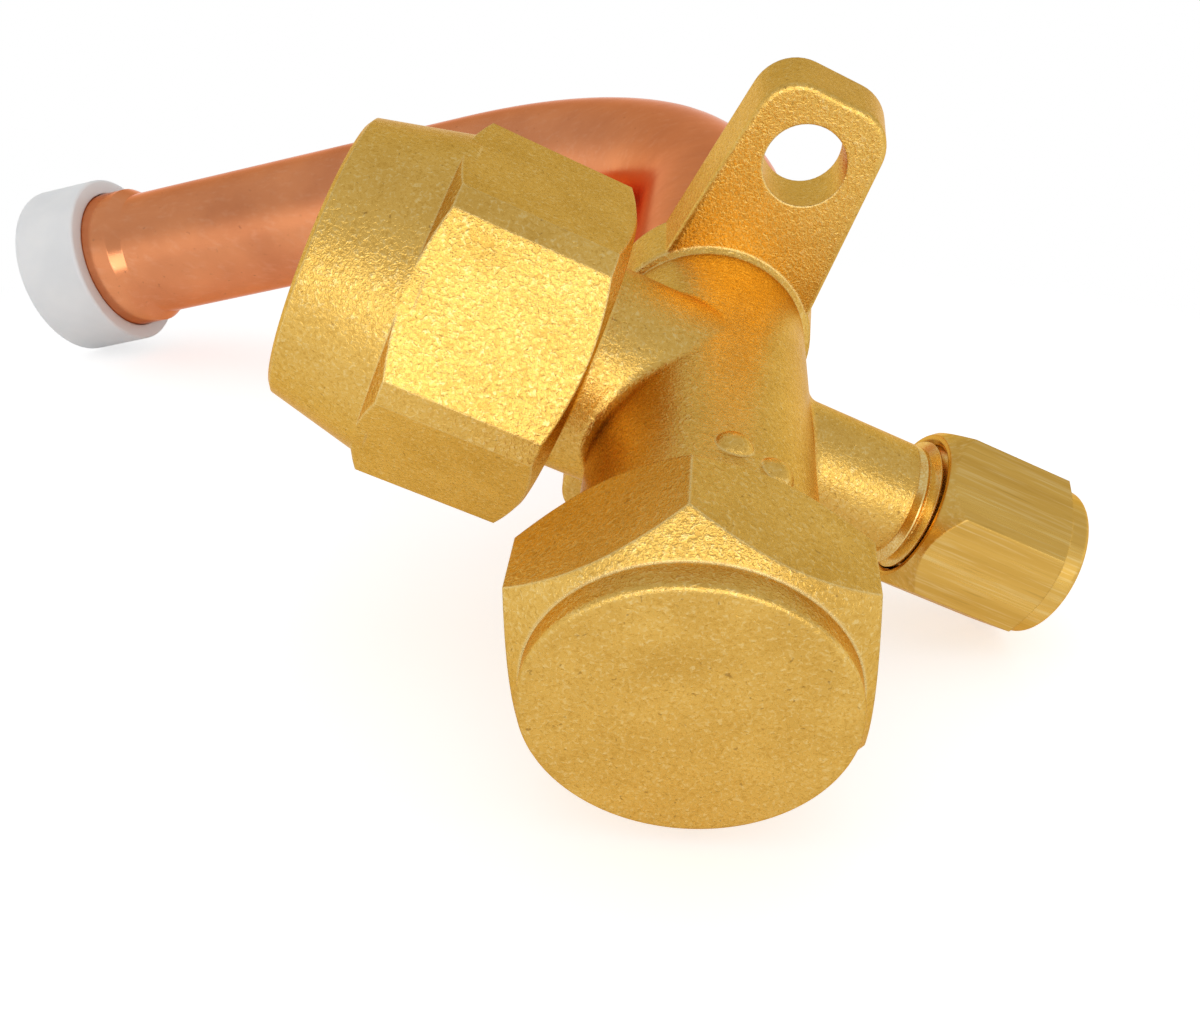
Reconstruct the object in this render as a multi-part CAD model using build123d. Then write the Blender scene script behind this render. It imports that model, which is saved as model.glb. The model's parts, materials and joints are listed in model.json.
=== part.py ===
from build123d import *
import math
import os

# Three-way refrigerant service valve: a forged brass body with a two-lug mounting flange, a flare outlet with
# its nut, a service port with its cap, a shut-off spindle under a hexagonal cap, and a brazed copper tube.
# Millimetres. The origin is the centre of the flange's mounting face, on the spindle's axis.
# The spindle and its cap point along -Y, the flare outlet along -X, the service port along +X,
# and the tube leaves the mounting face along +Y. Heights are measured from the origin along -Y, and places on
# the outlet and the service port from the spindle's axis.
# Screw threads are left as plain cylinders at the root of the thread, in bores at its crest.

# ---- flange and forged body ----------------------------------------------------------------------------------
FLANGE_THICKNESS = 6.5
FLANGE_RADIUS = 11.0
LUG_HOLE_PITCH = 40.9
LUG_HOLE_RADIUS = 3.9
LUG_END = 27.6                # from the spindle axis to the end of a lug, at the mounting face
LUG_ROOT_WIDTH = 18.0         # at the spindle axis
LUG_TIP_WIDTH = 12.9          # at the end of the lug
LUG_CORNER_RADIUS = 4.4
LUG_DRAFT = 4.0               # degrees
LUG_EDGE_ROUND = 0.6

BODY_RADIUS = 9.9
PORT_AXIS_HEIGHT = 21.0       # the crossing of the three axes
BODY_SHOULDER = 24.0          # from the crossing to where the cap thread starts
FORGED_BLEND = 1.2
FLANGE_BLEND = 0.5
MARK_RADIUS = 1.45            # two raised forging marks
MARK_HEIGHT = 0.75
MARKS = ((39.4, 9.4), (40.6, -12.1))   # height, and angle from +Z towards -X

THREAD_DEPTH = 0.65           # in pitches
NECK_THREAD_RADIUS = 9.0      # M18 x 1.5, under the spindle cap
NECK_THREAD_PITCH = 1.5
NECK_THREAD_LENGTH = 10.3
NECK_THREAD_LEAD = 0.8

OUTLET_NECK_STEP = 0.3        # how much slimmer the outlet neck is than the trunk
OUTLET_NECK_LENGTH = 12.4
OUTLET_THREAD_RADIUS = 11.1   # 7/8-14 UNF
OUTLET_THREAD_PITCH = 1.814
OUTLET_THREAD_LENGTH = 12.2
OUTLET_THREAD_LEAD = 0.8
OUTLET_BORE_RADIUS = 5.6
FLARE_NOSE_RADIUS = 9.0       # where the 45 degree flare seat starts

STUB_RADIUS = 5.57
STUB_LENGTH = 19.8
STUB_THREAD_RADIUS = 6.35     # 1/2-20 UNF
STUB_THREAD_PITCH = 1.27
STUB_THREAD_LENGTH = 12.8
STUB_NOSE_RADIUS = 4.7
STUB_NOSE_LENGTH = 1.5
CORE_BORE_RADIUS = 2.7
CORE_BORE_DEPTH = 15.1        # from the end of the thread
SERVICE_WAY_RADIUS = 1.6

# ---- copper tube ---------------------------------------------------------------------------------------------
TUBE_RADIUS = 9.525           # 3/4 inch tube
TUBE_WALL = 1.0
TUBE_BEND_RADIUS = 36.2
TUBE_LEG = 21.7               # straight run behind the mounting face
TUBE_RUN = 56.5               # straight run after the bend
TUBE_TURN = 38.5              # how far the run points below -X, in degrees
TUBE_SOCKET_DEPTH = 5.5       # in the body
BRAZE_GAP = 0.05
BRAZE_FILLET = 0.95
BELL_RADIUS = 10.6            # swaged socket at the end of the tube
BELL_TAPER = 1.8
BELL_LENGTH = 13.0

TUBE_CAP_WALL = 2.2
TUBE_CAP_SPACE = 0.1
TUBE_CAP_OVERLAP = 9.0        # how far the plastic cap reaches over the socket
TUBE_CAP_END_WALL = 1.3
TUBE_CAP_ROUND = 1.2
TUBE_CAP_MOUTH_ROUND = 0.4

# ---- passages, seat and spindle ------------------------------------------------------------------------------
PASSAGE_RADIUS = 5.5
SEAT_HEIGHT = 9.5             # the foot of the seat's cone
GLAND_BORE_RADIUS = 6.6
SPINDLE_THREAD_BORE_RADIUS = 7.0
SPINDLE_THREAD_LENGTH = 16.1  # down from the top of the neck
RING_GROOVE_BELOW_TOP = 2.5
RING_GROOVE_DEPTH = 0.5
RING_THICKNESS = 0.8
RING_REACH = 1.1              # how far the retaining ring stands into the bore
RING_GAP = 3.2                # between its ends
RING_SPACE = 0.1

SPINDLE_CLEARANCE = 0.1
SPINDLE_NOSE_RADIUS = 4.6
SPINDLE_NECK_RADIUS = 4.0
SPINDLE_NECK_ABOVE_SEAT = 2.9
SPINDLE_RECESS = 10.1         # its top below the top of the neck
SPINDLE_TOP_CHAMFER = 0.5
GLAND_ABOVE_PORT = 6.2
HEX_SOCKET = 5.0
HEX_SOCKET_DEPTH = 6.5
O_RING_ABOVE_GLAND = 2.2
O_RING_WIRE = 0.92
O_RING_SPACE = 0.08
BACKUP_RING_THICKNESS = 1.0
GROOVE_DEPTH = 1.95

# ---- spindle cap ---------------------------------------------------------------------------------------------
CAP_FLATS = 25.2
CAP_TURN = 26.4               # a corner's angle from +Z towards -X
CAP_BACK_GAP = 1.0            # behind it, to the body's shoulder
CAP_HEX_LENGTH = 10.0
CAP_BACK_CHAMFER = 2.3
CAP_FRONT_CHAMFER = 2.3
CAP_FACE_RADIUS = 11.75
CAP_FACE_STEP = 0.15
CAP_FACE_HEIGHT = 2.4
CAP_EDGE_ROUND = 0.4
CAP_MOUTH_SPACE = 0.4
CAP_THREAD_SPACE = 0.15
CAP_GASKET_THICKNESS = 0.8
GASKET_SPACE = 0.05
GASKET_BORE_SPACE = 0.3

# ---- flare nut and bonnet ------------------------------------------------------------------------------------
NUT_FLATS = 29.0
NUT_TURN = 0.8                # a corner's angle from -Y towards +Z
NUT_BACK_GAP = 0.7            # behind it, to the neck's end
NUT_HEX_LENGTH = 15.1
NUT_COLLAR_LENGTH = 8.2
NUT_CORNER_BEVEL = 1.3
NUT_START_CHAMFER = 1.5
NUT_START_STEP = 0.5
NUT_COLLAR_ROOT_RADIUS = 14.6
NUT_COLLAR_END_RADIUS = 12.35
NUT_TUBE_HOLE_RADIUS = 8.05
NUT_TUBE_HOLE_LEAD = 0.7
NUT_THREAD_SPACE = 0.1
NUT_THREAD_LEAD = 1.0
NUT_CONE_GAP = 0.1            # between the cone's foot and the end of the outlet thread
NUT_EDGE = 0.35

BONNET_WALL = 0.8
BONNET_SPACE = 0.08
BONNET_BRIM = 0.8             # how far the brim reaches past the flare seat's foot
BONNET_RECESS = 2.2           # its end inside the nut's

# ---- service cap and valve core ------------------------------------------------------------------------------
SERVICE_FLATS = 15.4
SERVICE_TURN = 24.3           # a corner's angle from -Y towards -Z
SERVICE_BACK_GAP = 2.1        # behind it, to the end of the forged stub
SERVICE_HEX_LENGTH = 13.3
SERVICE_MOUTH_RADIUS = 7.3
SERVICE_MOUTH_SLOPE = 1.3
SERVICE_COLLAR_RADIUS = 7.45
SERVICE_COLLAR_LENGTH = 2.1
SERVICE_END_ROUND = 0.6
SERVICE_THREAD_SPACE = 0.1
SERVICE_THREAD_LEAD = 0.4
SERVICE_CEILING_CONE = 1.0
SERVICE_SEAL_THICKNESS = 1.2
SERVICE_SEAL_REACH = 0.4      # past the stub's nose

CORE_BARREL_DEPTH = 7.6       # its inner end, from the end of the thread
CORE_BARREL_LENGTH = 6.2
CORE_BARREL_SPACE = 0.08
CORE_BARREL_FLOOR = 1.0
CORE_BARREL_BORE = 1.7
CORE_SLOT_WIDTH = 1.2
CORE_SLOT_DEPTH = 1.2
CORE_GASKET_THICKNESS = 1.6
CORE_PIN_RADIUS = 0.6
CORE_PIN_SPACE = 0.25
CORE_PIN_HEAD_RADIUS = 1.1
CORE_PIN_HEAD_LENGTH = 1.2
CORE_PIN_STAND = 0.3          # past the end of the thread
POPPET_RADIUS = 1.9
POPPET_THICKNESS = 0.9
POPPET_CHAMFER = 0.3
POPPET_SEAL_THICKNESS = 0.8
CORE_SPRING_WIRE = 0.15
CORE_SPRING_RADIUS = 1.1
CORE_SPRING_TURNS = 6

OVERRUN = 1.0                 # how far a cut, or a joined shape's foot, reaches past a face

# ---- places that follow --------------------------------------------------------------------------------------
OUTLET_NECK_RADIUS = BODY_RADIUS - OUTLET_NECK_STEP
OUTLET_THREAD_END = OUTLET_NECK_LENGTH + OUTLET_THREAD_LENGTH
STUB_THREAD_END = STUB_LENGTH + STUB_THREAD_LENGTH
STUB_NOSE_END = STUB_THREAD_END + STUB_NOSE_LENGTH
CORE_BORE_START = STUB_THREAD_END - CORE_BORE_DEPTH
CORE_BARREL_START = STUB_THREAD_END - CORE_BARREL_DEPTH
CORE_BARREL_END = CORE_BARREL_START + CORE_BARREL_LENGTH
CORE_PIN_END = STUB_THREAD_END + CORE_PIN_STAND

SHOULDER_HEIGHT = PORT_AXIS_HEIGHT + BODY_SHOULDER
BODY_TOP = SHOULDER_HEIGHT + NECK_THREAD_LENGTH
GLAND_TOP = BODY_TOP - SPINDLE_THREAD_LENGTH
RING_GROOVE_HEIGHT = BODY_TOP - RING_GROOVE_BELOW_TOP
SPINDLE_TOP = BODY_TOP - SPINDLE_RECESS
GLAND_START = PORT_AXIS_HEIGHT + GLAND_ABOVE_PORT
O_RING_HEIGHT = GLAND_START + O_RING_ABOVE_GLAND

CAP_BACK = SHOULDER_HEIGHT + CAP_BACK_GAP
CAP_SHOULDER = CAP_BACK + CAP_HEX_LENGTH
CAP_TOP = CAP_SHOULDER + CAP_FACE_HEIGHT

NUT_START = OUTLET_NECK_LENGTH + NUT_BACK_GAP
NUT_HEX_END = NUT_START + NUT_HEX_LENGTH
NUT_END = NUT_HEX_END + NUT_COLLAR_LENGTH
NUT_CONE_START = OUTLET_THREAD_END + NUT_CONE_GAP
BONNET_END = NUT_END - BONNET_RECESS

SERVICE_START = STUB_LENGTH + SERVICE_BACK_GAP
SERVICE_HEX_END = SERVICE_START + SERVICE_HEX_LENGTH
SERVICE_END = SERVICE_HEX_END + SERVICE_COLLAR_LENGTH

BELL_START = TUBE_RUN + BELL_TAPER
BELL_END = BELL_START + BELL_LENGTH

# ---- frames --------------------------------------------------------------------------------------------------
STEM = Plane(origin=(0, 0, 0), x_dir=(0, 0, 1), z_dir=(0, -1, 0))
OUTLET = Plane(origin=(0, -PORT_AXIS_HEIGHT, 0), x_dir=(0, -1, 0), z_dir=(-1, 0, 0))
SERVICE = Plane(origin=(0, -PORT_AXIS_HEIGHT, 0), x_dir=(0, -1, 0), z_dir=(1, 0, 0))
BACK = Plane(origin=(0, 0, 0), x_dir=(1, 0, 0), z_dir=(0, 1, 0))

RUN_DIRECTION = Vector(-math.cos(math.radians(TUBE_TURN)), 0, -math.sin(math.radians(TUBE_TURN)))
BEND_END = Vector(0, TUBE_LEG + TUBE_BEND_RADIUS, 0) + RUN_DIRECTION * TUBE_BEND_RADIUS
TUBE_END = Plane(origin=BEND_END, x_dir=(0, 1, 0), z_dir=RUN_DIRECTION)


def turned(plane, outline):
    """Solid of revolution about the plane's normal, from (radius, height) points."""
    profile = Plane.XZ * make_face(Polyline(*outline, close=True))
    return plane * revolve(profile, Axis.Z)


def rod(plane, radius, start, end):
    return turned(plane, [(0, start), (radius, start), (radius, end), (0, end)])


def ring(plane, inner, outer, start, end):
    return turned(plane, [(inner, start), (outer, start), (outer, end), (inner, end)])


def hexagon(plane, flats, turn, start, end):
    outline = Pos(0, 0, start) * RegularPolygon(flats / 2, 6, major_radius=False, rotation=turn)
    return plane * extrude(outline, end - start)


def corner_radius(flats):
    return flats / math.sqrt(3)


def thread_root(crest, pitch):
    return crest - THREAD_DEPTH * pitch


# ---- forged body ---------------------------------------------------------------------------------------------
def lug_outline():
    corners = [
        (LUG_END, -LUG_TIP_WIDTH / 2),
        (LUG_END, LUG_TIP_WIDTH / 2),
        (0, LUG_ROOT_WIDTH / 2),
        (-LUG_END, LUG_TIP_WIDTH / 2),
        (-LUG_END, -LUG_TIP_WIDTH / 2),
        (0, -LUG_ROOT_WIDTH / 2),
    ]
    outline = make_face(Polyline(*corners, close=True))
    tips = [v for v in outline.vertices() if abs(v.X) > LUG_END / 2]
    return fillet(tips, LUG_CORNER_RADIUS)


def flange():
    plate = extrude(lug_outline() + Circle(FLANGE_RADIUS), FLANGE_THICKNESS, taper=LUG_DRAFT)
    front_edges = plate.edges().group_by(Axis.Z)[-1]
    return STEM * fillet(front_edges, LUG_EDGE_ROUND)


def forged_marks():
    marks = []
    for height, angle in MARKS:
        turn = math.radians(angle)
        foot = Vector(-math.sin(turn), 0, math.cos(turn))
        ball = (MARK_RADIUS ** 2 + MARK_HEIGHT ** 2) / (2 * MARK_HEIGHT)
        centre = foot * (BODY_RADIUS + MARK_HEIGHT - ball) - Vector(0, height, 0)
        marks.append(Pos(*centre) * Sphere(ball))
    inner = BODY_RADIUS - MARK_HEIGHT
    outer = BODY_RADIUS + 2 * MARK_HEIGHT
    shell = ring(STEM, inner, outer, PORT_AXIS_HEIGHT, SHOULDER_HEIGHT)
    return [mark & shell for mark in marks]


def body_outside():
    trunk = rod(STEM, BODY_RADIUS, 0, SHOULDER_HEIGHT)
    neck = rod(OUTLET, OUTLET_NECK_RADIUS, 0, OUTLET_NECK_LENGTH)
    stub = rod(SERVICE, STUB_RADIUS, 0, STUB_LENGTH)
    forged = trunk + neck + stub
    creases = [
        edge
        for edge in forged.edges()
        if abs(edge.center().X) > STUB_RADIUS / 2
        and abs(edge.center().X) < min(OUTLET_NECK_LENGTH, STUB_LENGTH) - OVERRUN
        and edge.geom_type != GeomType.LINE
    ]
    forged = fillet(creases, FORGED_BLEND)
    return forged + flange()


def flange_blend():
    """The small slope between the flange's front and the trunk."""
    inside = BODY_RADIUS - FLANGE_BLEND
    foot = FLANGE_THICKNESS - FLANGE_BLEND / 2
    return turned(
        STEM,
        [
            (inside, foot),
            (BODY_RADIUS + FLANGE_BLEND, foot),
            (BODY_RADIUS + FLANGE_BLEND, FLANGE_THICKNESS),
            (BODY_RADIUS, FLANGE_THICKNESS + FLANGE_BLEND),
            (inside, FLANGE_THICKNESS + FLANGE_BLEND),
        ],
    )


def outlet_thread():
    root = thread_root(OUTLET_THREAD_RADIUS, OUTLET_THREAD_PITCH)
    nose_length = FLARE_NOSE_RADIUS - OUTLET_BORE_RADIUS
    return turned(
        OUTLET,
        [
            (0, OUTLET_NECK_LENGTH - OVERRUN),
            (OUTLET_NECK_RADIUS, OUTLET_NECK_LENGTH - OVERRUN),
            (OUTLET_NECK_RADIUS, OUTLET_NECK_LENGTH),
            (root, OUTLET_NECK_LENGTH + OUTLET_THREAD_LEAD),
            (root, OUTLET_THREAD_END - (root - FLARE_NOSE_RADIUS)),
            (FLARE_NOSE_RADIUS, OUTLET_THREAD_END),
            (OUTLET_BORE_RADIUS, OUTLET_THREAD_END + nose_length),
            (0, OUTLET_THREAD_END + nose_length),
        ],
    )


def service_thread():
    root = thread_root(STUB_THREAD_RADIUS, STUB_THREAD_PITCH)
    return turned(
        SERVICE,
        [
            (0, STUB_LENGTH - OVERRUN),
            (root, STUB_LENGTH - OVERRUN),
            (root, STUB_THREAD_END),
            (STUB_NOSE_RADIUS, STUB_NOSE_END),
            (0, STUB_NOSE_END),
        ],
    )


def neck_thread():
    root = thread_root(NECK_THREAD_RADIUS, NECK_THREAD_PITCH)
    return turned(
        STEM,
        [
            (0, SHOULDER_HEIGHT - OVERRUN),
            (root, SHOULDER_HEIGHT - OVERRUN),
            (root, BODY_TOP - NECK_THREAD_LEAD / 2),
            (root - NECK_THREAD_LEAD / 2, BODY_TOP),
            (0, BODY_TOP),
        ],
    )


def body_passages():
    socket = TUBE_RADIUS + BRAZE_GAP
    seat = GLAND_BORE_RADIUS - PASSAGE_RADIUS
    groove = SPINDLE_THREAD_BORE_RADIUS + RING_GROOVE_DEPTH
    groove_top = RING_GROOVE_HEIGHT + RING_THICKNESS + 2 * RING_SPACE
    main_bore = turned(
        STEM,
        [
            (0, -OVERRUN),
            (socket, -OVERRUN),
            (socket, TUBE_SOCKET_DEPTH),
            (PASSAGE_RADIUS, TUBE_SOCKET_DEPTH),
            (PASSAGE_RADIUS, SEAT_HEIGHT),
            (GLAND_BORE_RADIUS, SEAT_HEIGHT + seat),
            (GLAND_BORE_RADIUS, GLAND_TOP),
            (SPINDLE_THREAD_BORE_RADIUS, GLAND_TOP),
            (SPINDLE_THREAD_BORE_RADIUS, RING_GROOVE_HEIGHT),
            (groove, RING_GROOVE_HEIGHT),
            (groove, groove_top),
            (SPINDLE_THREAD_BORE_RADIUS, groove_top),
            (SPINDLE_THREAD_BORE_RADIUS, BODY_TOP + OVERRUN),
            (0, BODY_TOP + OVERRUN),
        ],
    )
    outlet_bore = rod(OUTLET, OUTLET_BORE_RADIUS, 0, NUT_END)
    service_way = rod(SERVICE, SERVICE_WAY_RADIUS, 0, CORE_BORE_START)
    core_bore = turned(
        SERVICE,
        [
            (0, CORE_BORE_START - OVERRUN),
            (SERVICE_WAY_RADIUS, CORE_BORE_START - OVERRUN),
            (CORE_BORE_RADIUS, CORE_BORE_START),
            (CORE_BORE_RADIUS, SERVICE_END),
            (0, SERVICE_END),
        ],
    )
    return main_bore + outlet_bore + service_way + core_bore


def lug_holes():
    hole = rod(STEM, LUG_HOLE_RADIUS, -OVERRUN, FLANGE_THICKNESS + OVERRUN)
    return [Pos(0, 0, side * LUG_HOLE_PITCH / 2) * hole for side in (1, -1)]


def valve_body():
    solid = body_outside() + flange_blend() + outlet_thread() + service_thread() + neck_thread()
    for mark in forged_marks():
        solid += mark
    for hole in lug_holes():
        solid -= hole
    return solid - body_passages()


# ---- copper tube ---------------------------------------------------------------------------------------------
def tube_core(radius, start, end):
    """The tube's leg, bend and run as one solid bar of the given radius."""
    leg = rod(BACK, radius, start, TUBE_LEG)
    bend_axis = Axis((0, TUBE_LEG, 0) + RUN_DIRECTION * TUBE_BEND_RADIUS, RUN_DIRECTION.cross(Vector(0, 1, 0)))
    section = Plane(origin=(0, TUBE_LEG, 0), x_dir=(1, 0, 0), z_dir=(0, 1, 0)) * Circle(radius)
    bend = revolve(section, bend_axis, -90)
    return leg + bend + rod(TUBE_END, radius, 0, end)


def bell(radius, tube_radius):
    """The swaged end, as a solid."""
    return turned(
        TUBE_END,
        [(0, TUBE_RUN), (tube_radius, TUBE_RUN), (radius, BELL_START), (radius, BELL_END), (0, BELL_END)],
    )


def outlet_tube():
    bore = TUBE_RADIUS - TUBE_WALL
    outside = tube_core(TUBE_RADIUS, -TUBE_SOCKET_DEPTH, TUBE_RUN) + bell(BELL_RADIUS, TUBE_RADIUS)
    inside = tube_core(bore, -TUBE_SOCKET_DEPTH, TUBE_RUN) + bell(BELL_RADIUS - TUBE_WALL, bore)
    return outside - inside


def braze_fillet():
    return turned(
        BACK,
        [(TUBE_RADIUS, 0), (TUBE_RADIUS + BRAZE_FILLET, 0), (TUBE_RADIUS, BRAZE_FILLET)],
    )


def tube_cap():
    mouth = BELL_END - TUBE_CAP_OVERLAP
    inner_end = BELL_END + 2 * TUBE_CAP_SPACE
    end = inner_end + TUBE_CAP_END_WALL
    inner = BELL_RADIUS + TUBE_CAP_SPACE
    outer = inner + TUBE_CAP_WALL
    shell = turned(
        TUBE_END,
        [(inner, mouth), (outer, mouth), (outer, end), (0, end), (0, inner_end), (inner, inner_end)],
    )
    outer_rims = [e for e in shell.edges().filter_by(GeomType.CIRCLE) if e.radius > (inner + outer) / 2]
    mouth_rim, end_rim = sorted(outer_rims, key=lambda e: (e.center() - BEND_END).dot(RUN_DIRECTION))
    return fillet(end_rim, TUBE_CAP_ROUND).fillet(TUBE_CAP_MOUTH_ROUND, [mouth_rim])


# ---- spindle -------------------------------------------------------------------------------------------------
def spindle():
    gland = GLAND_BORE_RADIUS - SPINDLE_CLEARANCE
    nose_cone = gland - SPINDLE_NOSE_RADIUS
    seat_touch = SEAT_HEIGHT + (gland - PASSAGE_RADIUS) + SPINDLE_CLEARANCE * math.sqrt(2)
    neck_start = SEAT_HEIGHT + SPINDLE_NECK_ABOVE_SEAT
    groove_floor = gland - GROOVE_DEPTH
    groove_end = O_RING_HEIGHT + 2 * O_RING_WIRE + BACKUP_RING_THICKNESS + 3 * O_RING_SPACE
    thread = SPINDLE_THREAD_BORE_RADIUS - SPINDLE_CLEARANCE
    shape = turned(
        STEM,
        [
            (0, seat_touch - nose_cone),
            (SPINDLE_NOSE_RADIUS, seat_touch - nose_cone),
            (gland, seat_touch),
            (gland, neck_start),
            (SPINDLE_NECK_RADIUS, neck_start),
            (SPINDLE_NECK_RADIUS, GLAND_START - (gland - SPINDLE_NECK_RADIUS)),
            (gland, GLAND_START),
            (gland, O_RING_HEIGHT),
            (groove_floor, O_RING_HEIGHT),
            (groove_floor, groove_end),
            (gland, groove_end),
            (gland, GLAND_TOP + SPINDLE_CLEARANCE),
            (thread, GLAND_TOP + SPINDLE_CLEARANCE),
            (thread, SPINDLE_TOP - SPINDLE_TOP_CHAMFER),
            (thread - SPINDLE_TOP_CHAMFER, SPINDLE_TOP),
            (0, SPINDLE_TOP),
        ],
    )
    return shape - hexagon(STEM, HEX_SOCKET, CAP_TURN, SPINDLE_TOP - HEX_SOCKET_DEPTH, SPINDLE_TOP + OVERRUN)


def o_ring():
    outer = GLAND_BORE_RADIUS - SPINDLE_CLEARANCE / 2
    centre = Plane.XZ * Pos(outer - O_RING_WIRE, O_RING_HEIGHT + O_RING_SPACE + O_RING_WIRE) * Circle(O_RING_WIRE)
    return STEM * revolve(centre, Axis.Z)


def backup_ring():
    start = O_RING_HEIGHT + 2 * O_RING_WIRE + 2 * O_RING_SPACE
    inner = GLAND_BORE_RADIUS - SPINDLE_CLEARANCE - GROOVE_DEPTH + O_RING_SPACE
    return ring(STEM, inner, GLAND_BORE_RADIUS - SPINDLE_CLEARANCE / 2, start, start + BACKUP_RING_THICKNESS)


def retaining_ring():
    outer = SPINDLE_THREAD_BORE_RADIUS + RING_GROOVE_DEPTH - RING_SPACE
    start = RING_GROOVE_HEIGHT + RING_SPACE
    hoop = ring(STEM, SPINDLE_THREAD_BORE_RADIUS - RING_REACH, outer, start, start + RING_THICKNESS)
    gap = Box(4 * RING_REACH, RING_GAP, 4 * RING_THICKNESS)
    return hoop - STEM * (Pos(SPINDLE_THREAD_BORE_RADIUS, 0, start) * gap)


# ---- spindle cap ---------------------------------------------------------------------------------------------
def stem_cap():
    corner = corner_radius(CAP_FLATS)
    back = CAP_FLATS / 2 - CAP_MOUTH_SPACE
    prism = hexagon(STEM, CAP_FLATS, CAP_TURN, CAP_BACK, CAP_SHOULDER)
    envelope = turned(
        STEM,
        [
            (0, CAP_BACK),
            (back, CAP_BACK),
            (corner, CAP_BACK + CAP_BACK_CHAMFER),
            (corner, CAP_SHOULDER - CAP_FRONT_CHAMFER),
            (CAP_FACE_RADIUS + CAP_FACE_STEP, CAP_SHOULDER),
            (0, CAP_SHOULDER),
        ],
    )
    face = rod(STEM, CAP_FACE_RADIUS, CAP_SHOULDER - OVERRUN, CAP_TOP)
    outer_rim = face.edges().filter_by(GeomType.CIRCLE).sort_by(Axis.Y)[0]
    face = fillet(outer_rim, CAP_EDGE_ROUND)
    gasket_top = BODY_TOP + CAP_GASKET_THICKNESS + 2 * GASKET_SPACE
    bore = NECK_THREAD_RADIUS + CAP_THREAD_SPACE
    mouth = BODY_RADIUS + CAP_MOUTH_SPACE
    cavity = turned(
        STEM,
        [
            (0, CAP_BACK - OVERRUN),
            (mouth, CAP_BACK - OVERRUN),
            (mouth, CAP_BACK),
            (bore, CAP_BACK + mouth - bore),
            (bore, gasket_top),
            (0, gasket_top),
        ],
    )
    return (prism & envelope) + face - cavity


def cap_gasket():
    start = BODY_TOP + GASKET_SPACE
    inner = SPINDLE_THREAD_BORE_RADIUS + GASKET_BORE_SPACE
    return ring(STEM, inner, NECK_THREAD_RADIUS, start, start + CAP_GASKET_THICKNESS)


# ---- flare nut and its sealing bonnet ------------------------------------------------------------------------
def flare_nut():
    corner = corner_radius(NUT_FLATS)
    flat = NUT_FLATS / 2
    prism = RegularPolygon(flat, 6, major_radius=False, rotation=NUT_TURN)
    prism = chamfer(prism.vertices(), NUT_CORNER_BEVEL)
    prism = OUTLET * extrude(Pos(0, 0, NUT_START) * prism, NUT_HEX_END - NUT_START)
    end_slope = (corner - flat) / math.sqrt(3)
    envelope = turned(
        OUTLET,
        [
            (0, NUT_START),
            (flat - NUT_START_STEP, NUT_START),
            (corner, NUT_START + NUT_START_CHAMFER),
            (corner, NUT_HEX_END - end_slope),
            (NUT_COLLAR_ROOT_RADIUS, NUT_HEX_END),
            (0, NUT_HEX_END),
        ],
    )
    collar = turned(
        OUTLET,
        [
            (0, NUT_HEX_END - OVERRUN),
            (NUT_COLLAR_ROOT_RADIUS, NUT_HEX_END - OVERRUN),
            (NUT_COLLAR_ROOT_RADIUS, NUT_HEX_END),
            (NUT_COLLAR_END_RADIUS + NUT_EDGE / 2, NUT_END - NUT_EDGE),
            (NUT_COLLAR_END_RADIUS - NUT_EDGE, NUT_END),
            (0, NUT_END),
        ],
    )
    thread = OUTLET_THREAD_RADIUS + NUT_THREAD_SPACE
    cone = thread - NUT_TUBE_HOLE_RADIUS
    hole = turned(
        OUTLET,
        [
            (0, NUT_START - OVERRUN),
            (thread + NUT_THREAD_LEAD, NUT_START - OVERRUN),
            (thread + NUT_THREAD_LEAD, NUT_START),
            (thread, NUT_START + NUT_THREAD_LEAD),
            (thread, NUT_CONE_START),
            (NUT_TUBE_HOLE_RADIUS, NUT_CONE_START + cone),
            (NUT_TUBE_HOLE_RADIUS, NUT_END - NUT_TUBE_HOLE_LEAD),
            (NUT_TUBE_HOLE_RADIUS + NUT_TUBE_HOLE_LEAD, NUT_END),
            (NUT_TUBE_HOLE_RADIUS + NUT_TUBE_HOLE_LEAD, NUT_END + OVERRUN),
            (0, NUT_END + OVERRUN),
        ],
    )
    return (prism & envelope) + collar - hole


def flare_bonnet():
    """Copper blanking cap clamped between the flare seat and the nut."""
    tube = NUT_TUBE_HOLE_RADIUS - BONNET_SPACE
    slope = BONNET_SPACE * math.sqrt(2)
    outer_sum = NUT_CONE_START + OUTLET_THREAD_RADIUS + NUT_THREAD_SPACE - slope
    inner_sum = OUTLET_THREAD_END + FLARE_NOSE_RADIUS + slope
    brim = FLARE_NOSE_RADIUS + BONNET_BRIM
    bore = tube - BONNET_WALL
    return turned(
        OUTLET,
        [
            (brim, inner_sum - brim),
            (brim, outer_sum - brim),
            (tube, outer_sum - tube),
            (tube, BONNET_END),
            (0, BONNET_END),
            (0, BONNET_END - BONNET_WALL),
            (bore, BONNET_END - BONNET_WALL),
            (bore, inner_sum - bore),
        ],
    )


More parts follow.
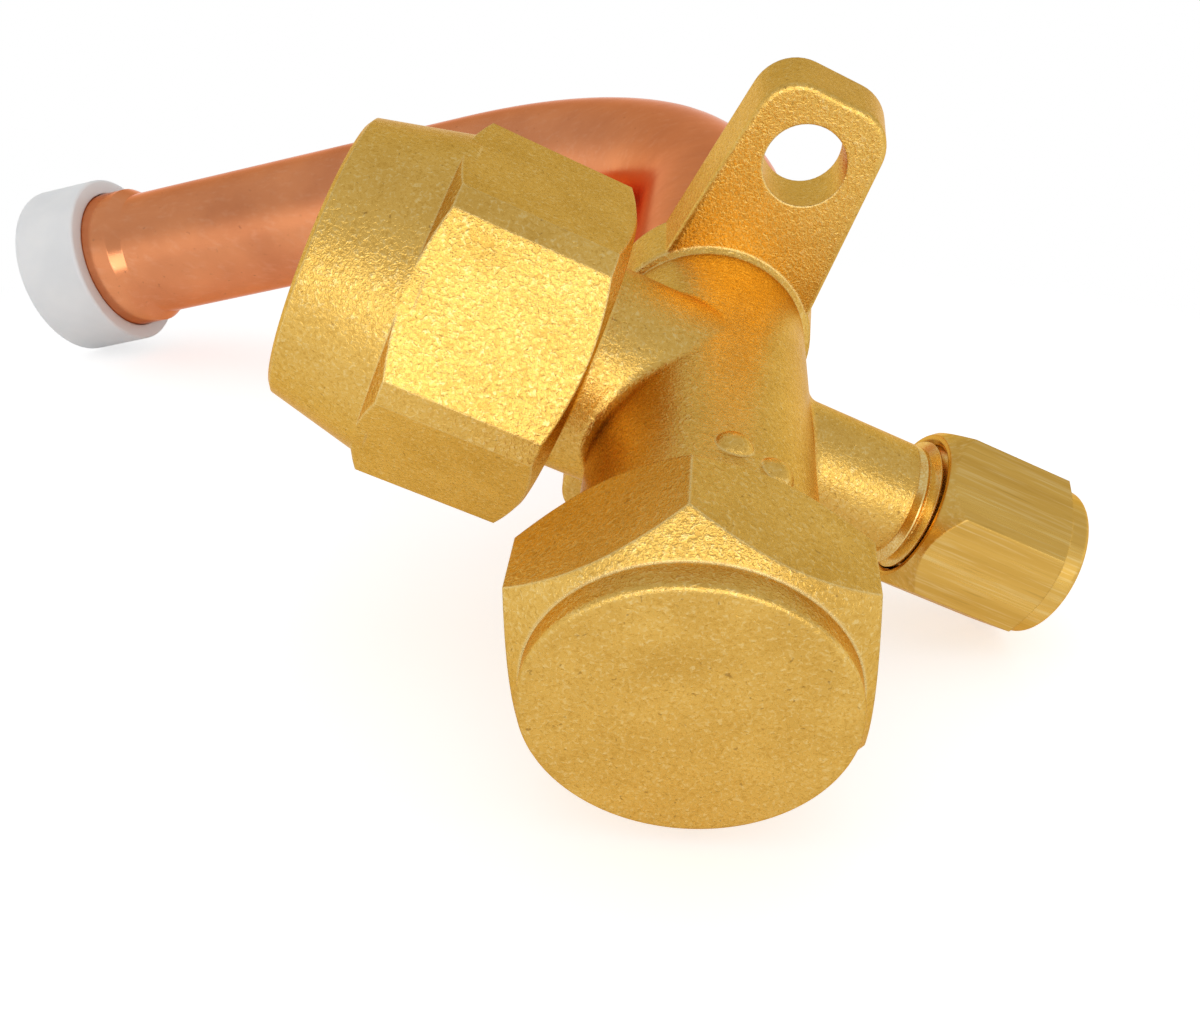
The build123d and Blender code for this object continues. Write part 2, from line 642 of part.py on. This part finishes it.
# ---- service port --------------------------------------------------------------------------------------------
def service_cap():
    corner = corner_radius(SERVICE_FLATS)
    prism = hexagon(SERVICE, SERVICE_FLATS, SERVICE_TURN, SERVICE_START, SERVICE_HEX_END)
    envelope = turned(
        SERVICE,
        [
            (0, SERVICE_START),
            (SERVICE_MOUTH_RADIUS, SERVICE_START),
            (corner, SERVICE_START + (corner - SERVICE_MOUTH_RADIUS) * SERVICE_MOUTH_SLOPE),
            (corner, SERVICE_HEX_END - (corner - SERVICE_COLLAR_RADIUS) / math.sqrt(3)),
            (SERVICE_COLLAR_RADIUS, SERVICE_HEX_END),
            (0, SERVICE_HEX_END),
        ],
    )
    collar = rod(SERVICE, SERVICE_COLLAR_RADIUS, SERVICE_HEX_END - OVERRUN, SERVICE_END)
    end_rim = collar.edges().filter_by(GeomType.CIRCLE).sort_by(Axis.X)[-1]
    collar = fillet(end_rim, SERVICE_END_ROUND)
    seal_end = STUB_NOSE_END + SERVICE_SEAL_THICKNESS + 2 * GASKET_SPACE
    bore = STUB_THREAD_RADIUS + SERVICE_THREAD_SPACE
    cavity = turned(
        SERVICE,
        [
            (0, SERVICE_START - OVERRUN),
            (bore + SERVICE_THREAD_LEAD, SERVICE_START - OVERRUN),
            (bore + SERVICE_THREAD_LEAD, SERVICE_START),
            (bore, SERVICE_START + SERVICE_THREAD_LEAD),
            (bore, seal_end - SERVICE_CEILING_CONE),
            (bore - SERVICE_CEILING_CONE, seal_end),
            (0, seal_end),
        ],
    )
    return (prism & envelope) + collar - cavity


def service_seal():
    start = STUB_NOSE_END + GASKET_SPACE
    return rod(SERVICE, STUB_NOSE_RADIUS + SERVICE_SEAL_REACH, start, start + SERVICE_SEAL_THICKNESS)


def core_barrel():
    outer = CORE_BORE_RADIUS - CORE_BARREL_SPACE
    pin_hole = CORE_PIN_RADIUS + CORE_PIN_SPACE
    floor = CORE_BARREL_START + CORE_BARREL_FLOOR
    shape = turned(
        SERVICE,
        [
            (pin_hole, CORE_BARREL_START),
            (outer, CORE_BARREL_START),
            (outer, CORE_BARREL_END),
            (CORE_BARREL_BORE, CORE_BARREL_END),
            (CORE_BARREL_BORE, floor),
            (pin_hole, floor),
        ],
    )
    slot = Box(3 * CORE_BORE_RADIUS, CORE_SLOT_WIDTH, 2 * CORE_SLOT_DEPTH)
    return shape - SERVICE * (Pos(0, 0, CORE_BARREL_END) * slot)


def core_gasket():
    inner = CORE_PIN_RADIUS + CORE_PIN_SPACE
    start = CORE_BARREL_START - CORE_GASKET_THICKNESS
    return ring(SERVICE, inner, CORE_BORE_RADIUS, start, CORE_BARREL_START)


def core_pin():
    seal_end = CORE_BARREL_START - CORE_GASKET_THICKNESS - GASKET_SPACE
    poppet_end = seal_end - POPPET_SEAL_THICKNESS
    head = CORE_PIN_END - CORE_PIN_HEAD_LENGTH
    return turned(
        SERVICE,
        [
            (0, poppet_end - POPPET_THICKNESS),
            (POPPET_RADIUS - POPPET_CHAMFER, poppet_end - POPPET_THICKNESS),
            (POPPET_RADIUS, poppet_end - POPPET_THICKNESS + POPPET_CHAMFER),
            (POPPET_RADIUS, poppet_end),
            (CORE_PIN_RADIUS, poppet_end),
            (CORE_PIN_RADIUS, head),
            (CORE_PIN_HEAD_RADIUS, head),
            (CORE_PIN_HEAD_RADIUS, CORE_PIN_END),
            (0, CORE_PIN_END),
        ],
    )


def poppet_seal():
    end = CORE_BARREL_START - CORE_GASKET_THICKNESS - GASKET_SPACE
    return ring(SERVICE, CORE_PIN_RADIUS, POPPET_RADIUS, end - POPPET_SEAL_THICKNESS, end)


def core_spring():
    start = CORE_BARREL_START + CORE_BARREL_FLOOR + CORE_SPRING_WIRE
    height = CORE_PIN_END - CORE_PIN_HEAD_LENGTH - CORE_SPRING_WIRE - start
    coil = Helix(pitch=height / CORE_SPRING_TURNS, height=height, radius=CORE_SPRING_RADIUS)
    section = Plane(origin=coil @ 0, z_dir=coil % 0) * Circle(CORE_SPRING_WIRE)
    return SERVICE * (Pos(0, 0, start) * sweep(section, path=coil))


NODES = {
    "valve_body": valve_body,
    "outlet_tube": outlet_tube,
    "braze_fillet": braze_fillet,
    "tube_cap": tube_cap,
    "spindle": spindle,
    "spindle_o_ring": o_ring,
    "spindle_backup_ring": backup_ring,
    "retaining_ring": retaining_ring,
    "stem_cap": stem_cap,
    "stem_cap_gasket": cap_gasket,
    "flare_nut": flare_nut,
    "flare_bonnet": flare_bonnet,
    "service_cap": service_cap,
    "service_cap_seal": service_seal,
    "core_barrel": core_barrel,
    "core_gasket": core_gasket,
    "core_pin": core_pin,
    "poppet_seal": poppet_seal,
    "core_spring": core_spring,
}

os.makedirs("parts", exist_ok=True)
for name, make in NODES.items():
    export_step(make(), f"parts/{name}.step")
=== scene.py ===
"""Refrigerant service valve: materials, threads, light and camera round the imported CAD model. Metres."""
import json
import math
from collections import namedtuple

import bmesh
import bpy
from mathutils import Euler, Matrix, Vector


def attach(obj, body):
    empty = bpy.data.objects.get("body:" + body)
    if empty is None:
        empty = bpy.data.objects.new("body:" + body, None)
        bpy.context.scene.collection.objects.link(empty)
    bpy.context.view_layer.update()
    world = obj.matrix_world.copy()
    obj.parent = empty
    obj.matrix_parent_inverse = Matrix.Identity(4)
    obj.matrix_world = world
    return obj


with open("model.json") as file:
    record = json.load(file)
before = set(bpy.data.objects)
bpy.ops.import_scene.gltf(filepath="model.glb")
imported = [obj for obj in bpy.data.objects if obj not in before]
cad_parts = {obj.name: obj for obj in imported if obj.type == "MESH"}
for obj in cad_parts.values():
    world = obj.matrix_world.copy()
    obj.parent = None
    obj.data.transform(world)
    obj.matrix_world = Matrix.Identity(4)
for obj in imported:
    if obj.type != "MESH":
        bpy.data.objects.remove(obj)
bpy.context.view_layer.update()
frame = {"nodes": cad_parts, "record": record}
nodes = frame["nodes"]
MM = 0.001
WHITE = (1.0, 1.0, 1.0)

# ---- camera ------------------------------------------------------------------------------------
CAMERA_PLACE = Vector((-23.5, -111.3, 52.7)) * MM
CAMERA_TURN = (51.25, -24.53, 4.01)       # degrees about X, Y and Z; the valve lies tilted on the table
CAMERA_LENS = 34.6
CAMERA_SHIFT = (-0.039, -0.006)
CAMERA_CLIP = (0.005, 20.0)

# ---- table and light ---------------------------------------------------------------------------
TABLE_NORMAL = Vector((-0.384, 0.236, 0.893)).normalized()
TABLE_DEPTH = 26.7 * MM                   # below the origin, along the normal
TABLE_SIZE = 6.0
TABLE_TONE = 0.75
TABLE_GLOW = 0.56                         # seen by the camera
TABLE_GLOSS_GLOW = 0.33                   # seen in reflections
TABLE_NEAR = 0.09                         # from here on the table turns plain white
TABLE_FAR = 0.17                          # and here it is
ROOM_WHITE = 1.0                          # what the camera sees, and the room at table height
ROOM_TOP = 0.66                           # the room overhead, in reflections
ROOM_LOW = 0.06                           # where the tone starts to fall: sine of the height over the table
ROOM_HIGH = 0.55                          # and where it ends
ROOM_DIFFUSE = 0.72                       # what lights dull surfaces
KEY_AIM = Vector((-0.08, -0.90, 0.36)).normalized()
KEY_DISTANCE = 0.6
KEY_SIZE = (0.78, 0.36)                   # wide, along the table
KEY_POWER = 1.35

# ---- threads, in millimetres -------------------------------------------------------------------
THREAD_DEPTH = 0.65                       # in pitches
THREAD_STEPS = 48                         # per turn
THREAD_RUN_OUT = 0.3                      # turns
THREAD_END = 0.04                         # share of the height left at the very end
THREAD_FOOT = 0.06                        # how deep a ridge's foot is sunk in its wall
CREST_FLAT = 0.0625                       # half width, in pitches
INNER_CREST_FLAT = 0.085
INNER_CREST_GAP = 0.1                     # clearance over the outer thread's root, in pitches
FLANK = math.tan(math.radians(30))
SHARP_EDGE = math.radians(28)
STEM = (Vector((0, 0, 0)), Vector((0, -1, 0)))
OUTLET = (Vector((0, -21, 0)), Vector((-1, 0, 0)))
SERVICE = (Vector((0, -21, 0)), Vector((1, 0, 0)))
# The crest's and the bore's radius, and the stretch along the line. An outer thread needs no bore.
Thread = namedtuple("Thread", "name body line crest bore pitch start end")
OUTER_THREADS = (
    Thread("outlet_thread", "valve", OUTLET, crest=11.1, bore=None, pitch=1.814, start=13.2, end=23.9),
    Thread("service_thread", "valve", SERVICE, crest=6.35, bore=None, pitch=1.27, start=20.2, end=32.1),
    Thread("neck_thread", "valve", STEM, crest=9.0, bore=None, pitch=1.5, start=45.7, end=54.7),
)
INNER_THREADS = (
    Thread("nut_thread", "flare_nut", OUTLET, crest=11.1, bore=11.2, pitch=1.814, start=14.6, end=24.2),
    Thread("stem_cap_thread", "stem_cap", STEM, crest=9.0, bore=9.15, pitch=1.5, start=47.5, end=55.0),
    Thread("service_cap_thread", "service_cap", SERVICE,
           crest=6.35, bore=6.45, pitch=1.27, start=22.7, end=32.4),
)

# ---- finishes ----------------------------------------------------------------------------------
# BRASS_PALE also paints sparkle on the forged grain and part of the edge highlight; BRASS_DEEP also paints
# shade in the grain's dimples.
BRASS = (0.81, 0.505, 0.118)
BRASS_PALE = (0.93, 0.74, 0.34)
BRASS_DEEP = (0.57, 0.315, 0.052)
BRASS_SPECK = (0.30, 0.16, 0.04)
BRASS_RIM = (0.95, 0.72, 0.40)            # rims: the colour at grazing angles
COPPER = (0.82, 0.315, 0.135)
COPPER_PALE = (0.92, 0.52, 0.33)
COPPER_DARK = (0.52, 0.17, 0.075)
COPPER_SPECK = (0.30, 0.10, 0.05)
COPPER_RIM = (0.95, 0.60, 0.45)
BRAZE_DARK = (0.55, 0.30, 0.12)
BRAZE_PALE = (0.86, 0.62, 0.34)
STEEL_DARK = (0.42, 0.42, 0.43)
STEEL_PALE = (0.62, 0.62, 0.63)
PLASTIC_DARK = (0.78, 0.79, 0.80)
PLASTIC_PALE = (0.86, 0.86, 0.86)
NYLON_DARK = (0.70, 0.70, 0.66)
NYLON_PALE = (0.80, 0.80, 0.77)
RUBBER_DARK = (0.015, 0.015, 0.016)
RUBBER_PALE = (0.045, 0.045, 0.047)
# Bump height and edge rounding in millimetres, and roughness where a noise is low and where it is high.
Finish = namedtuple("Finish", "relief edge rough")
FINISHES = {
    "forged_brass": Finish(relief=0.075, edge=0.32, rough=(0.31, 0.20)),
    "drawn_brass": Finish(relief=0.012, edge=0.22, rough=(0.34, 0.24)),
    "turned_brass": Finish(relief=0.004, edge=0.06, rough=(0.30, 0.22)),
    "copper": Finish(relief=0.006, edge=0.20, rough=(0.15, 0.25)),
    "braze_alloy": Finish(relief=0.05, edge=None, rough=(0.42, 0.26)),
    "spring_steel": Finish(relief=0.004, edge=None, rough=(0.20, 0.32)),
    "natural_plastic": Finish(relief=0.05, edge=0.30, rough=(0.30, 0.40)),
    "white_nylon": Finish(relief=0.012, edge=0.08, rough=(0.36, 0.48)),
    "black_rubber": Finish(relief=0.012, edge=0.08, rough=(0.49, 0.61)),
}
FORGED_GRAIN = 0.19 * MM                  # dimple size
FORGED_SPECKS = (0.71, 0.79)              # noise levels between which a speck sets in
LUG_HOLE_HEIGHT = 20.45                   # millimetres
LUG_HOLE_RADIUS = 3.3
BORED_EDGE = (0.12, 0.02)                 # outside the hole's wall, where the machined look sets in
WORN_AND_HIGHLIT_EDGE = (0.995, 0.90)                 # cosines at which the paler edges, partly wear and partly a painted highlight, set in and are full
DRAW_SQUEEZE = 0.035                      # how far draw lines are pulled out along the cap
DRAW_SIDE = (0.9, 0.6)                    # sizes of a face normal's X with no draw lines, and with full ones
DRAW_REST = (0.47, 0.60)                  # levels of the fine and wide lines on the turned ends
TUBE_LEAN = math.radians(38.5)
CENTRE = (0.3, 0.7)                       # where most of a noise's values lie


def make_camera():
    data = bpy.data.cameras.new("camera")
    data.lens = CAMERA_LENS
    data.shift_x, data.shift_y = CAMERA_SHIFT
    data.clip_start, data.clip_end = CAMERA_CLIP
    camera = bpy.data.objects.new("camera", data)
    camera.location = CAMERA_PLACE
    camera.rotation_euler = Euler([math.radians(a) for a in CAMERA_TURN])
    bpy.context.scene.collection.objects.link(camera)
    bpy.context.scene.camera = camera


# ---- node helpers ------------------------------------------------------------------------------
class Shader:
    """A short way to write a node tree. Noise scales are per metre."""

    def __init__(self, name, tree=None):
        if tree is None:
            self.material = bpy.data.materials.new(name)
            self.material.use_nodes = True
            tree = self.material.node_tree
        self.name = name
        self.tree = tree
        self.tree.nodes.clear()
        self.bevel = None

    def node(self, kind, inputs=None, **settings):
        made = self.tree.nodes.new("ShaderNode" + kind)
        for key, value in settings.items():
            setattr(made, key, value)
        for key, value in (inputs or {}).items():
            self.put(made.inputs[key], value)
        return made

    def put(self, socket, value):
        if isinstance(value, bpy.types.NodeSocket):
            self.tree.links.new(value, socket)
        elif isinstance(value, bpy.types.Node):
            self.tree.links.new(value.outputs[0], socket)
        elif isinstance(value, tuple) and len(value) == 3 and socket.type == "RGBA":
            socket.default_value = (*value, 1.0)
        else:
            socket.default_value = value

    def math(self, operation, a, b=0.0):
        return self.node("Math", {0: a, 1: b}, operation=operation).outputs[0]

    def dot(self, a, b):
        return self.node("VectorMath", {0: a, 1: b}, operation="DOT_PRODUCT").outputs["Value"]

    def length(self, vector):
        return self.node("VectorMath", {0: vector}, operation="LENGTH").outputs["Value"]

    def ramp(self, value, low, high, to_low=0.0, to_high=1.0, smooth=False):
        """Clamped, and straight unless smooth."""
        made = self.node("MapRange", {"Value": value, "From Min": low, "From Max": high,
                                      "To Min": to_low, "To Max": to_high},
                         interpolation_type="SMOOTHSTEP" if smooth else "LINEAR")
        return made.outputs[0]

    def spread(self, noise, to_low=0.0, to_high=1.0):
        """A noise drawn out over the whole range."""
        return self.ramp(noise, *CENTRE, to_low, to_high)

    def mix(self, amount, a, b):
        return self.node("Mix", {0: amount, 6: a, 7: b}, data_type="RGBA").outputs[2]

    def blend(self, amount, a, b):
        return self.node("Mix", {0: amount, 2: a, 3: b}, data_type="FLOAT").outputs[0]

    def place(self):
        return self.node("TexCoord").outputs["Object"]

    def stretched(self, stretch, turn=(0, 0, 0)):
        """Object coordinates squeezed along some axes, for drawn and rubbed marks."""
        return self.node("Mapping", {"Vector": self.place(), "Scale": stretch, "Rotation": turn}).outputs[0]

    def noise(self, scale, detail=2.0, roughness=0.5, where=None, distortion=0.0):
        made = self.node("TexNoise", {"Scale": scale, "Detail": detail, "Roughness": roughness,
                                      "Distortion": distortion, "Vector": where or self.place()})
        return made.outputs["Fac"]

    def radius_about(self, origin, axis):
        """Distance in metres from an axis through origin, which is in millimetres."""
        away = self.node("VectorMath", {0: self.place(), 1: origin * MM}, operation="SUBTRACT")
        return self.length(self.node("VectorMath", {0: away, 1: axis}, operation="CROSS_PRODUCT"))

    def rounded(self):
        """The normal with edges rounded off. One node serves both bump and the paler edges, partly wear and
        partly a painted highlight.
        """
        if self.bevel is None:
            self.bevel = self.node("Bevel", {"Radius": FINISHES[self.name].edge * MM}, samples=6).outputs[0]
        return self.bevel

    def face(self):
        return self.node("NewGeometry").outputs["True Normal"]

    def seen_by(self):
        """Two masks: rays the camera sees by, straight or through clear matter, and reflected rays."""
        rays = self.node("LightPath").outputs
        direct = self.math("MAXIMUM", rays["Is Camera Ray"], rays["Is Transmission Ray"])
        return direct, rays["Is Glossy Ray"]

    def glow(self, strength):
        return self.node("Emission", {"Color": WHITE, "Strength": strength})

    def solid(self, colour, polish, height, **more):
        """The whole material: the noise in polish sets its roughness, and height its bump."""
        finish = FINISHES[self.name]
        bump = self.node("Bump", {"Height": height, "Distance": finish.relief * MM, "Strength": 1.0})
        if finish.edge:
            self.put(bump.inputs["Normal"], self.rounded())
        inputs = {"Base Color": colour, "Roughness": self.spread(polish, *finish.rough), "Normal": bump}
        for key, value in more.items():
            inputs[key.replace("_", " ").title()] = value
        return self.finish(self.node("BsdfPrincipled", inputs))

    def metal(self, colour, polish, height, rim=WHITE):
        return self.solid(colour, polish, height, metallic=1.0, specular_tint=rim)

    def finish(self, shader):
        self.node("OutputMaterial", {"Surface": shader})
        return self.material


# ---- materials ---------------------------------------------------------------------------------
def forged_brass():
    """Forged and shot-blasted: worm-like dimples and brown specks; the grain's tips are painted paler as
    sparkle and its hollows darker as shade; edges paler, partly wear and partly a painted highlight; and
    brighter lug holes.
    """
    s = Shader("forged_brass")
    grain = s.noise(0.55 / FORGED_GRAIN, 3.0, 0.55, distortion=0.9)
    fine = s.noise(1.6 / FORGED_GRAIN, 2.0, 0.5)
    blotch = s.noise(190, 3.0, 0.6)
    patch = s.noise(60, 2.0, 0.5)
    spot = s.noise(2300, 1.0, 0.4, distortion=0.6)
    colour = s.mix(s.spread(blotch), BRASS_DEEP, BRASS)
    colour = s.mix(s.ramp(patch, 0.35, 0.7, 0.25, 0.6), BRASS, colour)
    # Painted sparkle and painted shade: the grain's raised tips are painted paler, its dimples darker.
    colour = s.mix(s.ramp(grain, 0.54, 0.70, 0.0, 0.50), colour, BRASS_PALE)
    colour = s.mix(s.ramp(grain, 0.46, 0.33, 0.0, 0.55), colour, BRASS_DEEP)
    colour = s.mix(s.ramp(spot, *FORGED_SPECKS, 0.0, 0.6), colour, BRASS_SPECK)
    # Painted edge highlight, also standing for wear: rounded edges turn paler.
    worn_and_highlit = s.ramp(s.dot(s.rounded(), s.face()), *WORN_AND_HIGHLIT_EDGE)
    colour = s.mix(s.math("MULTIPLY", worn_and_highlit, 0.75), colour, BRASS_PALE)
    upper, lower = (s.radius_about(Vector((0, 0, height)), Vector((0, 1, 0)))
                    for height in (LUG_HOLE_HEIGHT, -LUG_HOLE_HEIGHT))
    outer, inner = ((LUG_HOLE_RADIUS + gap) * MM for gap in BORED_EDGE)
    colour = s.mix(s.ramp(s.math("MINIMUM", upper, lower), outer, inner), colour, BRASS_PALE)
    height = s.math("ADD", grain, s.math("MULTIPLY", fine, 0.3))
    return s.metal(colour, grain, height, BRASS_RIM)


def drawn_brass():
    """Hexagonal bar: long fine draw lines along the cap, turned ends."""
    s = Shader("drawn_brass")
    along = s.stretched((DRAW_SQUEEZE, 1, 1))
    lines = s.noise(3400, 3.0, 0.6, along)
    wide = s.noise(700, 2.0, 0.5, along)
    grain = s.noise(1900, 2.0, 0.5)
    across = s.node("SeparateXYZ", {0: s.face()}).outputs[0]
    side = s.ramp(s.math("ABSOLUTE", across), *DRAW_SIDE)
    lines, wide = (s.blend(side, rest, noise) for noise, rest in zip((lines, wide), DRAW_REST))
    colour = s.mix(s.spread(wide, 0.4, 1.0), BRASS_DEEP, BRASS)
    colour = s.mix(s.ramp(lines, 0.5, 0.75, 0.0, 0.5), colour, BRASS_PALE)
    colour = s.mix(s.ramp(lines, 0.38, 0.25, 0.0, 0.35), colour, BRASS_SPECK)
    height = s.math("ADD", lines, s.math("MULTIPLY", grain, 0.25))
    return s.metal(colour, wide, height, BRASS_RIM)


def turned_brass():
    s = Shader("turned_brass")
    rings = s.noise(5200, 2.0, 0.5)
    colour = s.mix(s.spread(rings), BRASS, BRASS_PALE)
    return s.metal(colour, rings, rings, BRASS_RIM)


def copper():
    """Soft drawn tube: satin, with handling scuffs, dull patches and small dark specks."""
    s = Shader("copper")
    patch = s.noise(85, 3.0, 0.6)
    scuff = s.noise(1400, 3.0, 0.65, s.stretched((0.28, 1, 0.6), (0, TUBE_LEAN, 0)))
    spot = s.noise(1700, 1.0, 0.4, distortion=0.5)
    fine = s.noise(5200, 2.0, 0.5)
    colour = s.mix(s.spread(patch, 0.0, 0.5), COPPER, COPPER_DARK)
    colour = s.mix(s.ramp(scuff, 0.52, 0.78, 0.0, 0.22), colour, COPPER_PALE)
    colour = s.mix(s.ramp(spot, 0.73, 0.79, 0.0, 0.4), colour, COPPER_SPECK)
    height = s.math("ADD", scuff, s.math("MULTIPLY", fine, 0.35))
    return s.metal(colour, patch, height, COPPER_RIM)


def braze_alloy():
    s = Shader("braze_alloy")
    flow = s.noise(900, 3.0, 0.6, distortion=1.2)
    return s.metal(s.mix(s.spread(flow), BRAZE_DARK, BRAZE_PALE), flow, flow, BRASS_RIM)


def spring_steel():
    s = Shader("spring_steel")
    grain = s.noise(3000, 2.0, 0.5)
    return s.metal(s.mix(s.spread(grain), STEEL_DARK, STEEL_PALE), grain, grain)


def natural_plastic():
    """Unpigmented polyethylene: cloudy, slightly see-through, with a soft moulded sheen."""
    s = Shader("natural_plastic")
    cloud = s.noise(120, 3.0, 0.55)
    fine = s.noise(2600, 2.0, 0.5)
    colour = s.mix(s.spread(cloud), PLASTIC_DARK, PLASTIC_PALE)
    height = s.math("ADD", s.math("MULTIPLY", cloud, 0.5), s.math("MULTIPLY", fine, 0.15))
    return s.solid(colour, fine, height, subsurface_weight=0.5, subsurface_radius=(1.0, 0.95, 0.9),
                   subsurface_scale=1.6 * MM)


def plain_solid(name, dark, pale):
    s = Shader(name)
    grain = s.noise(1500, 3.0, 0.6)
    return s.solid(s.mix(s.spread(grain), dark, pale), grain, grain)


LOOKS = {
    "forged_brass": forged_brass(),
    "drawn_brass": drawn_brass(),
    "turned_brass": turned_brass(),
    "copper": copper(),
    "braze_alloy": braze_alloy(),
    "natural_plastic": natural_plastic(),
    "white_nylon": plain_solid("white_nylon", NYLON_DARK, NYLON_PALE),
    "black_rubber": plain_solid("black_rubber", RUBBER_DARK, RUBBER_PALE),
    "spring_steel": spring_steel(),
}


def dress():
    """Gives every carried-over CAD node its material."""
    for part in frame["record"]["subparts"]:
        mesh = nodes[part["node"]].data
        mesh.materials.clear()
        mesh.materials.append(LOOKS[part["material_slot"]])


# ---- threads -----------------------------------------------------------------------------------
def ridge(thread, section, phase):
    """A right-hand thread's ridge, swept from (radius, place along the axis) points of its section.

    At both ends the ridge runs out into the section's first radius, its foot.
    """
    origin, axis = thread.line
    up = Vector((0, 0, 1))
    side = axis.cross(up)
    foot = section[0][0]
    turns = (thread.end - thread.start) / thread.pitch
    steps = round(turns * THREAD_STEPS)
    work = bmesh.new()
    rings = []
    for step in range(steps + 1):
        turn = turns * step / steps
        height = thread.start + thread.pitch * turn
        angle = 2 * math.pi * height / thread.pitch + phase
        out = up * math.cos(angle) + side * math.sin(angle)
        grown = max(THREAD_END, min(1.0, turn / THREAD_RUN_OUT, (turns - turn) / THREAD_RUN_OUT))
        places = [out * (foot + (radius - foot) * grown) + axis * (height + along)
                  for radius, along in section]
        rings.append([work.verts.new((origin + place) * MM) for place in places])
    for near, far in zip(rings, rings[1:]):
        for corner in range(len(section)):
            after = (corner + 1) % len(section)
            work.faces.new((near[corner], near[after], far[after], far[corner]))
    work.faces.new(rings[0])
    work.faces.new(rings[-1])
    bmesh.ops.recalc_face_normals(work, faces=work.faces)
    mesh = bpy.data.meshes.new(thread.name)
    work.to_mesh(mesh)
    work.free()
    mesh.shade_smooth()
    mesh.set_sharp_from_angle(angle=SHARP_EDGE)
    mesh.materials.append(LOOKS["turned_brass"])
    piece = bpy.data.objects.new(thread.name, mesh)
    bpy.context.scene.collection.objects.link(piece)
    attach(piece, thread.body)


def flank_section(foot, crest, half_crest):
    half_foot = half_crest + abs(crest - foot) * FLANK
    return [(foot, -half_foot), (crest, -half_crest), (crest, half_crest), (foot, half_foot)]


def make_threads():
    """Outer ridges stand on their roots, inner ones half a pitch on, each in the other's groove."""
    for thread in OUTER_THREADS:
        foot = thread.crest - THREAD_DEPTH * thread.pitch - THREAD_FOOT
        ridge(thread, flank_section(foot, thread.crest, CREST_FLAT * thread.pitch), 0.0)
    for thread in INNER_THREADS:
        inner = thread.crest - (THREAD_DEPTH - INNER_CREST_GAP) * thread.pitch
        section = flank_section(thread.bore + THREAD_FOOT, inner, INNER_CREST_FLAT * thread.pitch)
        ridge(thread, section, math.pi)


# ---- surroundings ------------------------------------------------------------------------------
def make_table():
    """Pale paper that glows a little, turns plain white further out and is clear from below."""
    bpy.ops.mesh.primitive_plane_add(size=TABLE_SIZE)
    table = bpy.context.object
    table.name = "table"
    table.location = -TABLE_NORMAL * TABLE_DEPTH
    table.rotation_mode = "QUATERNION"
    table.rotation_quaternion = TABLE_NORMAL.to_track_quat("Z", "Y")
    s = Shader("table")
    direct, glossy = s.seen_by()
    strength = s.math("MAXIMUM", s.math("MULTIPLY", direct, TABLE_GLOW),
                      s.math("MULTIPLY", glossy, TABLE_GLOSS_GLOW))
    paper = s.node("BsdfDiffuse", {"Color": (TABLE_TONE, TABLE_TONE, TABLE_TONE)})
    lit = s.node("AddShader", {0: paper, 1: s.glow(strength)})
    far = s.math("MULTIPLY", s.ramp(s.length(s.place()), TABLE_NEAR, TABLE_FAR, smooth=True),
                 s.math("MAXIMUM", direct, glossy))
    top = s.node("MixShader", {0: far, 1: lit, 2: s.glow(1.0)})
    below = s.node("NewGeometry").outputs["Backfacing"]
    clear = s.node("BsdfTransparent")
    table.data.materials.append(s.finish(s.node("MixShader", {0: below, 1: top, 2: clear})))


def make_world():
    """White as the camera sees it; reflections see it greyer overhead."""
    world = bpy.data.worlds.new("studio")
    world.use_nodes = True
    s = Shader("studio", world.node_tree)
    direct, glossy = s.seen_by()
    height = s.dot(s.node("TexCoord").outputs["Generated"], TABLE_NORMAL)
    tone = s.ramp(height, ROOM_LOW, ROOM_HIGH, ROOM_WHITE, ROOM_TOP, smooth=True)
    strength = s.blend(direct, s.blend(glossy, ROOM_DIFFUSE, tone), ROOM_WHITE)
    s.node("OutputWorld", {"Surface": s.node("Background", {"Color": WHITE, "Strength": strength})})
    bpy.context.scene.world = world


def soft_box(name, direction, distance, size, power):
    """A wide light that faces the object, level with the table."""
    data = bpy.data.lights.new(name, "AREA")
    data.shape = "RECTANGLE"
    data.size, data.size_y = size
    data.energy = power
    light = bpy.data.objects.new(name, data)
    light.location = direction * distance
    level = TABLE_NORMAL.cross(direction).normalized()
    light.rotation_mode = "QUATERNION"
    facing = Matrix((level, direction.cross(level), direction)).transposed()
    light.rotation_quaternion = facing.to_quaternion()
    bpy.context.scene.collection.objects.link(light)


make_camera()
dress()
make_threads()
make_table()
make_world()
soft_box("key", KEY_AIM, KEY_DISTANCE, KEY_SIZE, KEY_POWER)
bpy.context.scene.view_settings.view_transform = "Standard"
